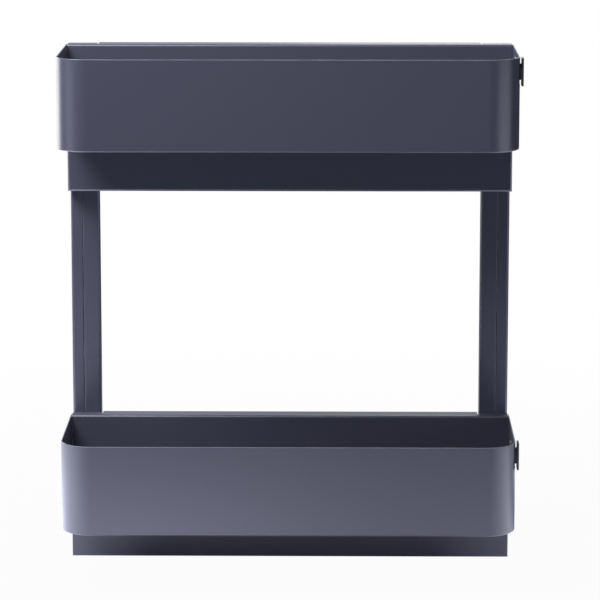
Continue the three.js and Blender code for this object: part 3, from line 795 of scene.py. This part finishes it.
# %% [markdown]
# ## Spacer brackets
#
# Eight small hat sections hold the posts and the runners off the panels. Each one is five runs and four
# bends, with a hole in the crown for every screw that goes into it.

# %% Spacer brackets
BRACKET_SHEET = 1.5
BRACKET_FOOT = 8.0
BRACKET_BEND = 2.0


def spacer_bracket(node):
    low, high = box_mm(node)
    foot_y, crown_y = low.y + BRACKET_SHEET / 2, high.y - BRACKET_SHEET / 2
    leg = (crown_y - foot_y - 2 * BRACKET_BEND,)
    foot = (BRACKET_FOOT,)
    crown = (high.z - low.z - 2 * BRACKET_FOOT - 4 * BRACKET_BEND,)
    left, right = (BRACKET_BEND, 90), (BRACKET_BEND, -90)
    bm = bmesh.new()
    fold_line(bm, (foot_y, low.z), 90, [foot, right, leg, left, crown, left, leg, right, foot])
    bmesh.ops.translate(bm, vec=(low.x, 0, 0), verts=bm.verts)
    draw_out(bm, bm.edges[:], (high.x - low.x, 0, 0))
    stem = node.replace("_bracket", "")
    for screw in [n for n in frame["nodes"] if n.startswith(stem) and n.endswith("screw")]:
        at = middle_mm(screw)
        punch(bm, at.x, crown_y, at.z, SCREW_HOLE)
    thicken(bm, BRACKET_SHEET)
    round_edges(bm, CUT_EDGE)
    return stand_in(node, bm)


brackets = [spacer_bracket(n) for n in sorted(frame["nodes"]) if n.endswith("_bracket")]
print(len(brackets), "brackets of", len(brackets[0].data.polygons), "faces")

# %% [markdown]
# ## Button-head screws
#
# A screw is a turned part, so half its outline is spun once round the axis. The outline has the thread's
# small ridges. The hexagon socket is a six-sided ring bridged to the top of the dome and pushed down.

# %% Screws
THREAD_PITCH = 0.7
THREAD_ROOT = 1.6
SCREW_RADIUS = 2.0
HEAD_HEIGHT = 2.2
HEAD_EDGE = 0.5
DOME = ((0.94, 1.1), (0.80, 1.7))
DOME_TOP = 0.58
SOCKET_RADIUS = 1.45
SOCKET_DEPTH = 1.3
SCREW_EDGE = 0.1
QUARTER_TURN = Matrix.Rotation(math.radians(90), 3, "X")


def button_screw(node):
    low, high = box_mm(node)
    centre = (low + high) / 2
    head_radius = (high.x - low.x) / 2
    seat = high.y - HEAD_HEIGHT
    outline = [(0, low.y), (THREAD_ROOT, low.y)]
    y = low.y
    while y + THREAD_PITCH < seat:
        outline += [(SCREW_RADIUS, y + THREAD_PITCH / 2), (THREAD_ROOT, y + THREAD_PITCH)]
        y += THREAD_PITCH
    outline += [(THREAD_ROOT, seat), (head_radius, seat), (head_radius, seat + HEAD_EDGE)]
    outline += [(head_radius * share, seat + rise) for share, rise in DOME]
    outline.append((head_radius * DOME_TOP, high.y))
    bm = bmesh.new()
    line = [bm.verts.new((r, y, 0)) for r, y in outline]
    ring_edges = [bm.edges.new(pair) for pair in zip(line, line[1:])]
    bmesh.ops.spin(
        bm, geom=line + ring_edges, cent=(0, 0, 0), axis=(0, 1, 0), angle=math.tau, steps=24, use_merge=True,
    )
    bmesh.ops.remove_doubles(bm, verts=bm.verts, dist=TOUCHING)
    socket = bmesh.ops.create_circle(bm, segments=6, radius=SOCKET_RADIUS)["verts"]
    bmesh.ops.rotate(bm, cent=(0, 0, 0), matrix=QUARTER_TURN, verts=socket)
    bmesh.ops.translate(bm, vec=(0, high.y, 0), verts=socket)
    rim = [e for e in bm.edges if e.is_boundary or e.is_wire]
    bmesh.ops.bridge_loops(bm, edges=rim)
    walls = draw_out(bm, [e for e in bm.edges if e.is_boundary], (0, -SOCKET_DEPTH, 0))
    bmesh.ops.edgeloop_fill(bm, edges=walls)
    even_out(bm)
    bmesh.ops.translate(bm, vec=(centre.x, 0, centre.z), verts=bm.verts)
    round_edges(bm, SCREW_EDGE, segments=1)
    return stand_in(node, bm)


screws = [button_screw(n) for n in sorted(frame["nodes"]) if n.endswith("_screw")]
print(len(screws), "screws of", len(screws[0].data.polygons), "faces")

# %% [markdown]
# ## Telescopic runners
#
# A runner is three nested channels. The wall channel's edges curl round the outer balls. The middle channel
# passes under those balls and over the inner ones in an S. The rack channel's edges curl under the inner
# balls. Only the upper half of each section is drawn, and a mirror makes the lower half. In the table below,
# a section is the place of its web, then its runs and bends up to the curled edge.

# %% Runner channels
RUNNER_SHEET = 1.2
RUNNER_EDGE = 0.2
RUNNER_BEND = 1.6
RACE = 2.7
RACE_WRAP = 60.0
RACE_LINK = 2.15
RACE_SLOPE = 27.49
OUTER_BALL = (-4.6, 19.2)
INNER_BALL = (-9.0, 15.4)
WALL_HOLES = (-190.0, -64.0, 64.0, 190.0)
WALL_HOLE = 2.4
ACCESS_HOLE = 5.5

SECTIONS = {
    "wall": (-0.6, [(20.3,), (RUNNER_BEND, 90), (2.4,), (RACE, RACE_WRAP)]),
    "middle": (-2.8, [
        (14.9,), (RUNNER_BEND, 90), (0.2,), (RACE, -RACE_SLOPE), (RACE_LINK,), (RACE, RACE_SLOPE + RACE_WRAP),
    ]),
    "rack": (-12.1, [(11.1,), (RUNNER_BEND, -90), (1.5,), (RACE, RACE_WRAP)]),
}


def mirrored_channel(web_y, moves, start_x, end_x):
    """A channel drawn along X between two ends, with equal halves above and below z = 0."""
    bm = bmesh.new()
    fold_line(bm, (web_y, 0), 90, moves)
    half = bm.verts[:] + bm.edges[:]
    bmesh.ops.mirror(bm, geom=half, axis="Z", merge_dist=TOUCHING)
    bmesh.ops.dissolve_verts(bm, verts=[v for v in bm.verts if abs(v.co.z) < TOUCHING])
    bmesh.ops.translate(bm, vec=(start_x, 0, 0), verts=bm.verts)
    draw_out(bm, bm.edges[:], (end_x - start_x, 0, 0))
    return bm


def runner_channel(level, member):
    node = f"{level}_runner_{member}_channel"
    low, high = box_mm(node)
    web_y, moves = SECTIONS[member]
    bm = mirrored_channel(web_y, moves, low.x, high.x)
    holes = {
        "wall": [(x, WALL_HOLE) for x in WALL_HOLES],
        "middle": [(x, ACCESS_HOLE) for x in WALL_HOLES],
        "rack": [(middle_mm(f"{level}_{end}_runner_screw").x, SCREW_HOLE) for end in ("rear", "front")],
    }
    for x, radius in holes[member]:
        punch(bm, x, web_y, 0, radius)
    thicken(bm, RUNNER_SHEET)
    round_edges(bm, RUNNER_EDGE)
    bmesh.ops.translate(bm, vec=(0, 0, (low.z + high.z) / 2), verts=bm.verts)
    return stand_in(node, bm)


for level in LEVELS:
    for member in SECTIONS:
        piece = runner_channel(level, member)
        print(piece.name, len(piece.data.polygons), "faces")

# %% [markdown]
# ### Ball cages
#
# A thin channel keeps the balls of a row apart, and the balls sit in its edges. The channel is folded like
# the others. Icospheres make the balls, because their faces are all of about the same size.

# %% Ball cages
CAGE_SHEET = 0.4
CAGE_CUT = 0.08
CAGE_BEND = 1.3
CAGE_EDGE = 2.0
BALL_RADIUS = 1.8
BALLS_PER_ROW = 5
BALL_PITCH = 50.0
CAGES = (("outer", -1.7, OUTER_BALL), ("inner", -3.9, INNER_BALL))


def ball_cage(level, row, web_y, ball):
    node = f"{level}_runner_{row}_cage"
    low, high = box_mm(node)
    ball_y, ball_z = ball
    moves = [(ball_z - CAGE_BEND,), (CAGE_BEND, 90), (web_y - CAGE_BEND - ball_y + CAGE_EDGE,)]
    bm = mirrored_channel(web_y, moves, low.x, high.x)
    thicken(bm, CAGE_SHEET)
    round_edges(bm, CAGE_CUT, segments=1)
    for side in (-1, 1):
        for i in range(BALLS_PER_ROW):
            ball_verts = bmesh.ops.create_icosphere(bm, subdivisions=3, radius=BALL_RADIUS)["verts"]
            x = (i - (BALLS_PER_ROW - 1) / 2) * BALL_PITCH
            bmesh.ops.translate(bm, vec=(x, ball_y, side * ball_z), verts=ball_verts)
    bmesh.ops.translate(bm, vec=(0, 0, (low.z + high.z) / 2), verts=bm.verts)
    return stand_in(node, bm)


for level in LEVELS:
    for row, web_y, ball in CAGES:
        piece = ball_cage(level, row, web_y, ball)
        print(piece.name, len(piece.data.polygons), "faces")

# %% [markdown]
# ### Bumpers
#
# The bumper is a block of rubber at the closed end of the wall channel, with a peg through the web that holds
# it. A hole is punched in the block's back and its rim drawn out, so block and peg are one mesh.

# %% Bumpers
PEG_RADIUS = 2.1
BUMPER_DEPTH = 6.0
BUMPER_EDGE = 0.3


def bumper(level):
    node = f"{level}_runner_bumper"
    low, high = box_mm(node)
    block_back = low.y + BUMPER_DEPTH
    size = Vector((high.x - low.x, BUMPER_DEPTH, high.z - low.z))
    centre = Vector(((low.x + high.x) / 2, low.y + BUMPER_DEPTH / 2, (low.z + high.z) / 2))
    bm = bmesh.new()
    bmesh.ops.create_cube(bm, size=1)
    bmesh.ops.scale(bm, vec=size, verts=bm.verts)
    bmesh.ops.translate(bm, vec=centre, verts=bm.verts)
    punch(bm, centre.x, block_back, centre.z, PEG_RADIUS)
    ring = draw_out(bm, [e for e in bm.edges if e.is_boundary], (0, high.y - block_back, 0))
    bmesh.ops.edgeloop_fill(bm, edges=ring)
    even_out(bm)
    peg_foot = {e for e in bm.edges if not e.is_convex}
    round_edges(bm, BUMPER_EDGE, segments=3, keep=peg_foot)
    return stand_in(node, bm)


for level in LEVELS:
    piece = bumper(level)
    print(piece.name, len(piece.data.polygons), "faces")

# %% [markdown]
# ## End clips
#
# A small dark moulding sits in a slot of the right end wall: a plate outside, a plate inside and a neck
# between them. It is box-modelled in one go. The plate's inner face is extruded in place and scaled to the
# neck, drawn through the wall, scaled out again and drawn to the second plate's thickness.

# %% End clips
NECK_SIZE = (6.0, 16.0)
CLIP_PLATE = 2.0
CLIP_EDGE = 0.45


def end_clip(level):
    node = f"{level}_end_clip"
    low, high = box_mm(node)
    centre = (low + high) / 2
    size = high - low
    bm = bmesh.new()
    bmesh.ops.create_cube(bm, size=1)
    bmesh.ops.scale(bm, vec=(CLIP_PLATE, size.y, size.z), verts=bm.verts)
    bmesh.ops.translate(bm, vec=(high.x - CLIP_PLATE / 2, centre.y, centre.z), verts=bm.verts)
    bm.normal_update()
    face = next(f for f in bm.faces if f.normal.x < -FACING)
    narrow = (1, NECK_SIZE[0] / size.y, NECK_SIZE[1] / size.z)
    wide = (1, size.y / NECK_SIZE[0], size.z / NECK_SIZE[1])
    same = (1, 1, 1)
    through_wall = 2 * CLIP_PLATE - size.x
    for stretch_by, reach in ((narrow, 0), (same, through_wall), (wide, 0), (same, -CLIP_PLATE)):
        grown = bmesh.ops.extrude_face_region(bm, geom=[face])["geom"]
        bmesh.ops.delete(bm, geom=[face], context="FACES_ONLY")
        face = next(g for g in grown if isinstance(g, bmesh.types.BMFace))
        bmesh.ops.translate(bm, vec=(reach, 0, 0), verts=face.verts)
        bmesh.ops.translate(bm, vec=-centre, verts=face.verts)
        bmesh.ops.scale(bm, vec=stretch_by, verts=face.verts)
        bmesh.ops.translate(bm, vec=centre, verts=face.verts)
    even_out(bm)
    round_edges(bm, CLIP_EDGE, segments=3)
    return stand_in(node, bm)


for level in LEVELS:
    piece = end_clip(level)
    print(piece.name, len(piece.data.polygons), "faces")

# %% [markdown]
# ## Floor and background
#
# The picture's ground is pure white. More light would burn the dark coat out, so the white comes from
# Light Path: a camera ray meets a floor that is mostly its own white, and all white further off. The rest
# of the floor is lit as usual, and that part keeps the shadow.
#
# A studio floor is brightest where the lamps strike it, and the coat mirrors that. In reflections the floor
# has three slightly cool pools of light: to the left, to the right and in front. Each is given as its centre,
# its radius and its light. The lower bin mirrors the floor close by, so it looks paler than the upper one.
# The floor stays dark under and behind the rack and along the wall that the runners are screwed to, and the
# pools end about a metre from the rack, so that the zinc keeps its grey. A shade is given as its centre and
# half its size.

# %% Floor
FLOOR_REACH = 12.0
FLOOR_GREY = 0.2
WHITE_NEAR, WHITE_FAR = 0.965, 1.0
NEAR_RACK, FAR_OFF = 0.3, 1.2
POOL_SHARE = 0.5
POOLS_FADE, POOLS_END = 0.8, 1.2
PAST_POOLS = 0.1
POOL_FALL = 3.0
POOLS = (
    ((-0.65, -0.20, 0.0), 0.45, 13.2),
    ((0.72, -0.05, 0.0), 0.45, 10.5),
    ((-0.12, -0.40, 0.0), 0.17, 3.4),
)
GROUND_COOL = (0.82, 0.84, 1.0)
WHITE = (1.0, 1.0, 1.0)
ON_FLOOR = (1.0, 1.0, 0.0)
SHADES = (
    ((0.0, 0.16, 0.0), (0.15, 0.34, 10.0)),
    ((0.40, 0.13, 0.0), (0.50, 0.07, 10.0)),
)
SHADE_FADE = 0.14
IN_SHADE = 0.12

bm = bmesh.new()
bmesh.ops.create_grid(bm, x_segments=1, y_segments=1, size=FLOOR_REACH)
bmesh.ops.translate(bm, vec=(0, 0, cad_box[0].z), verts=bm.verts)
floor_mesh = bpy.data.meshes.new("floor")
bm.to_mesh(floor_mesh)
bm.free()
floor = bpy.data.objects.new("floor", floor_mesh)
bpy.context.scene.collection.objects.link(floor)


def vector(tree, operation, a, b=(0, 0, 0)):
    """A vector math node on two vectors or sockets."""
    return add_node(tree, "ShaderNodeVectorMath", {0: a, 1: b}, operation=operation)


paper = bpy.data.materials.new("white_floor")
paper.use_nodes = True
tree = paper.node_tree
tree.nodes.clear()
path = tree.nodes.new("ShaderNodeLightPath")
spot = tree.nodes.new("ShaderNodeTexCoord").outputs["Object"]
flat_spot = vector(tree, "MULTIPLY", spot, ON_FLOOR).outputs["Vector"]
pool_light = 0.0
for centre, radius, light in POOLS:
    away = vector(tree, "DISTANCE", flat_spot, centre).outputs["Value"]
    fall = combine(tree, "POWER", combine(tree, "DIVIDE", away, radius), POOL_FALL)
    pool = combine(tree, "DIVIDE", light, combine(tree, "ADD", fall, 1.0))
    pool_light = combine(tree, "ADD", pool_light, pool)
past_shade = SHADE_FADE
for centre, half in SHADES:
    from_centre = vector(tree, "ABSOLUTE", vector(tree, "SUBTRACT", spot, centre).outputs["Vector"])
    outside = vector(tree, "SUBTRACT", from_centre.outputs["Vector"], half).outputs["Vector"]
    past = vector(tree, "LENGTH", vector(tree, "MAXIMUM", outside).outputs["Vector"]).outputs["Value"]
    past_shade = combine(tree, "MINIMUM", past_shade, past)
unshaded = add_node(tree, "ShaderNodeMapRange", {
    "Value": past_shade, "From Min": 0.0, "From Max": SHADE_FADE, "To Min": IN_SHADE, "To Max": 1.0,
})
from_rack = vector(tree, "LENGTH", flat_spot).outputs["Value"]
near_rack = add_node(tree, "ShaderNodeMapRange", {
    "Value": from_rack, "From Min": POOLS_FADE, "From Max": POOLS_END, "To Min": 1.0, "To Max": PAST_POOLS,
})
open_light = combine(tree, "MULTIPLY", pool_light, near_rack.outputs["Result"])
mirror_light = combine(tree, "MULTIPLY", open_light, unshaded.outputs["Result"])
white_share = add_node(tree, "ShaderNodeMapRange", {
    "Value": from_rack, "From Min": NEAR_RACK, "From Max": FAR_OFF,
    "To Min": WHITE_NEAR, "To Max": WHITE_FAR,
}).outputs["Result"]
mirrored = combine(tree, "MAXIMUM", path.outputs["Is Glossy Ray"], path.outputs["Is Transmission Ray"])
share = combine(
    tree, "ADD",
    combine(tree, "MULTIPLY", path.outputs["Is Camera Ray"], white_share),
    combine(tree, "MULTIPLY", mirrored, POOL_SHARE),
)
own_light = add_node(tree, "ShaderNodeMix", {
    "Factor": path.outputs["Is Camera Ray"], "A": mirror_light, "B": 1.0,
}, data_type="FLOAT").outputs["Result"]
lit = add_node(tree, "ShaderNodeBsdfDiffuse", {"Color": (FLOOR_GREY, FLOOR_GREY, FLOOR_GREY, 1)})
hue = two_tone(tree, path.outputs["Is Camera Ray"], GROUND_COOL, WHITE)
glow = add_node(tree, "ShaderNodeEmission", {"Color": hue, "Strength": own_light})
mixed = add_node(tree, "ShaderNodeMixShader", {0: share, 1: lit.outputs[0], 2: glow.outputs[0]})
add_node(tree, "ShaderNodeOutputMaterial", {"Surface": mixed.outputs[0]})
floor_mesh.materials.append(paper)
print("floor at z =", round(cad_box[0].z, 4))

# %% [markdown]
# ### The room
#
# Beyond the floor the camera sees plain white. The coat mirrors a dim room in front, where the camera
# stands, and a backdrop behind that is white near the floor and darker above. A very weak even light fills
# what no lamp reaches.

# %% World
AMBIENT = 0.010
ROOM_IN_FRONT = 0.06
BACKDROP_LOW, BACKDROP_HIGH = 0.12, 0.26
HIGH_SHARE = 0.3
BEHIND_FROM, BEHIND_TO = 0.2, 0.7

world = bpy.data.worlds.new("white_studio")
bpy.context.scene.world = world
world.use_nodes = True
tree = world.node_tree
tree.nodes.clear()
path = tree.nodes.new("ShaderNodeLightPath")
way = add_node(tree, "ShaderNodeSeparateXYZ", {0: tree.nodes.new("ShaderNodeTexCoord").outputs["Generated"]})
backdrop = add_node(tree, "ShaderNodeMapRange", {
    "Value": way.outputs["Z"], "From Min": BACKDROP_LOW, "From Max": BACKDROP_HIGH,
    "To Min": 1.0, "To Max": HIGH_SHARE,
}).outputs["Result"]
behind = add_node(tree, "ShaderNodeMapRange", {
    "Value": way.outputs["Y"], "From Min": BEHIND_FROM, "From Max": BEHIND_TO,
    "To Min": ROOM_IN_FRONT, "To Max": backdrop,
}, interpolation_type="SMOOTHSTEP").outputs["Result"]
mirrored = combine(tree, "MAXIMUM", path.outputs["Is Glossy Ray"], path.outputs["Is Transmission Ray"])
unseen = add_node(tree, "ShaderNodeMix", {"Factor": mirrored, "A": AMBIENT, "B": behind}, data_type="FLOAT")
strength = add_node(tree, "ShaderNodeMix", {
    "Factor": path.outputs["Is Camera Ray"], "A": unseen.outputs["Result"], "B": 1.0,
}, data_type="FLOAT").outputs["Result"]
hue = two_tone(tree, path.outputs["Is Camera Ray"], GROUND_COOL, WHITE)
sky = add_node(tree, "ShaderNodeBackground", {"Color": hue, "Strength": strength})
add_node(tree, "ShaderNodeOutputWorld", {"Surface": sky.outputs[0]})
print("world ambient", AMBIENT)

# %% [markdown]
# ## Light
#
# The main softbox stands high on the left. It lights the left post past the end of the upper bin and leaves
# the right post in that bin's shade. A second one, high and almost in front, lights the fronts and the
# rims. Two low cards, one on each side, draw the pale bands on the bins' round corners; they are as cool as
# the floor. One softbox behind on the left edges that side, and one high behind lights the back.

# %% Lamps
RACK_MIDDLE = Vector((0, -0.1, 0.25))


def softbox(name, turn, rise, distance, width, height, watts, colour=WHITE):
    """A rectangular lamp round the rack: turn is degrees from the front, to the right if positive."""
    data = bpy.data.lights.new(name, "AREA")
    data.color = colour
    data.shape = "RECTANGLE"
    data.size, data.size_y = width, height
    data.energy = watts
    to_lamp = outwards(math.radians(turn), math.radians(rise))
    lamp = bpy.data.objects.new(name, data)
    lamp.location = RACK_MIDDLE + distance * to_lamp
    lamp.rotation_euler = to_lamp.to_track_quat("Z", "Y").to_euler()
    bpy.context.scene.collection.objects.link(lamp)
    return lamp


lamps = [
    softbox("main_softbox", -68, 54, 1.4, 0.5, 0.5, 24.5),
    softbox("front_softbox", -25, 52, 1.6, 0.6, 0.6, 15.0),
    softbox("left_card", -70, -2, 1.3, 0.6, 0.4, 1.75, GROUND_COOL),
    softbox("left_rear_softbox", -128, 10, 1.0, 0.6, 0.6, 4.8),
    softbox("right_card", 64, -2, 1.3, 1.0, 0.4, 3.8, GROUND_COOL),
    softbox("back_softbox", 165, 38, 1.7, 0.8, 0.8, 9),
]
print("lamps:", [lamp.name for lamp in lamps])

# %% [markdown]
# ## Colour and size
#
# The Standard view shows a colour as it is written. The finished pieces take their sizes from the CAD model,
# whose box is printed.

# %% Colour and size
bpy.context.scene.view_settings.view_transform = "Standard"
print("CAD box", [[round(v, 4) for v in c] for c in cad_box])
